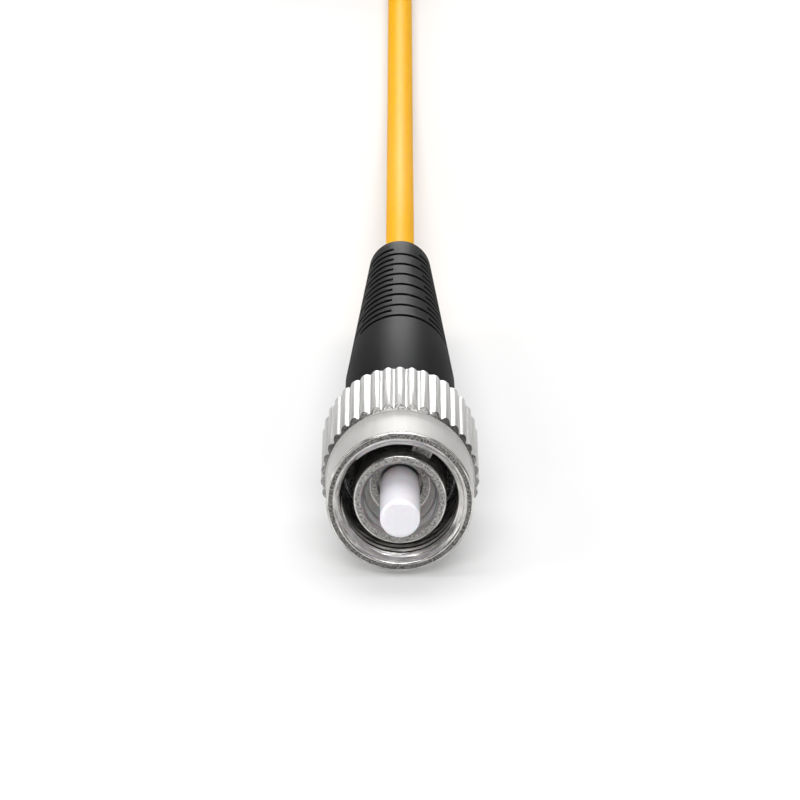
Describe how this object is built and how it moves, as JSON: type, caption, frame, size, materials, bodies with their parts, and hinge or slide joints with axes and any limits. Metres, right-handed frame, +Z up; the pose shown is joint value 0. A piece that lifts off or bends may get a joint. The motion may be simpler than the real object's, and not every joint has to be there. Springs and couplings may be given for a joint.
{
  "type": "fibre optic patch cord",
  "caption": "Yellow simplex fibre patch cord with keyed, threaded metal connectors, white ceramic ferrules and black slotted boots, its spare length folded in a tied hank.",
  "frame": {"origin": "on the floor under the middle of the near connector, between its ferrule tip and its boot's end", "axes": "+Y along the near connector from ferrule to boot and on along the cord, +Z up"},
  "size_m": [0.0228, 0.2743, 0.01],
  "materials": {
    "nickel_plate": "satin nickel plate on turned brass",
    "zirconia": "polished white zirconia ceramic",
    "spring_steel": "drawn spring steel",
    "fibre_buffer": "white tight buffer over glass fibre",
    "aramid": "loose aramid yarn",
    "crimp_metal": "crimped, plated copper alloy",
    "boot_rubber": "satin black moulded rubber",
    "cord_jacket": "extruded yellow jacket",
    "tie_fabric": "black woven hook-and-loop strap"
  },
  "bodies": {
    "cord_set": {"near_plug_body": "nickel_plate", "near_ferrule_spring": "spring_steel", "near_rear_body": "nickel_plate", "near_aramid_yarn": "aramid", "near_crimp_sleeve": "crimp_metal", "near_boot": "boot_rubber", "far_plug_body": "nickel_plate", "far_ferrule_spring": "spring_steel", "far_rear_body": "nickel_plate", "far_aramid_yarn": "aramid", "far_crimp_sleeve": "crimp_metal", "far_boot": "boot_rubber", "cord_run": "cord_jacket", "cord_hank": "cord_jacket", "cord_tail": "cord_jacket", "hank_tie": "tie_fabric"},
    "near_nut_ring": {"near_nut_retaining_ring": "spring_steel"},
    "near_nut": {"near_coupling_nut": "nickel_plate"},
    "near_ferrule_set": {"near_ferrule": "zirconia", "near_ferrule_flange": "nickel_plate", "near_fibre": "fibre_buffer"},
    "far_nut_ring": {"far_nut_retaining_ring": "spring_steel"},
    "far_nut": {"far_coupling_nut": "nickel_plate"},
    "far_ferrule_set": {"far_ferrule": "zirconia", "far_ferrule_flange": "nickel_plate", "far_fibre": "fibre_buffer"}
  },
  "joints": [
    {"name": "near_nut_slide", "type": "slide", "parent": "cord_set", "child": "near_nut_ring", "axis": [0, 1, 0], "range_m": [0, 0.0038]},
    {"name": "near_nut_spin", "type": "hinge", "parent": "near_nut_ring", "child": "near_nut", "pos_m": [0, -0.0224, 0.00498], "axis": [0, -1, 0], "continuous": true},
    {"name": "near_ferrule_float", "type": "slide", "parent": "cord_set", "child": "near_ferrule_set", "axis": [0, 1, 0], "range_m": [0, 0.0012], "stiffness_N_per_m": 4000, "deforming": ["near_ferrule_spring", "near_fibre"]},
    {"name": "far_nut_slide", "type": "slide", "parent": "cord_set", "child": "far_nut_ring", "axis": [0, -1, 0], "range_m": [0, 0.0038]},
    {"name": "far_nut_spin", "type": "hinge", "parent": "far_nut_ring", "child": "far_nut", "pos_m": [0, 0.2455, 0.00498], "axis": [0, 1, 0], "continuous": true},
    {"name": "far_ferrule_float", "type": "slide", "parent": "cord_set", "child": "far_ferrule_set", "axis": [0, -1, 0], "range_m": [0, 0.0012], "stiffness_N_per_m": 4000, "deforming": ["far_ferrule_spring", "far_fibre"]}
  ]
}
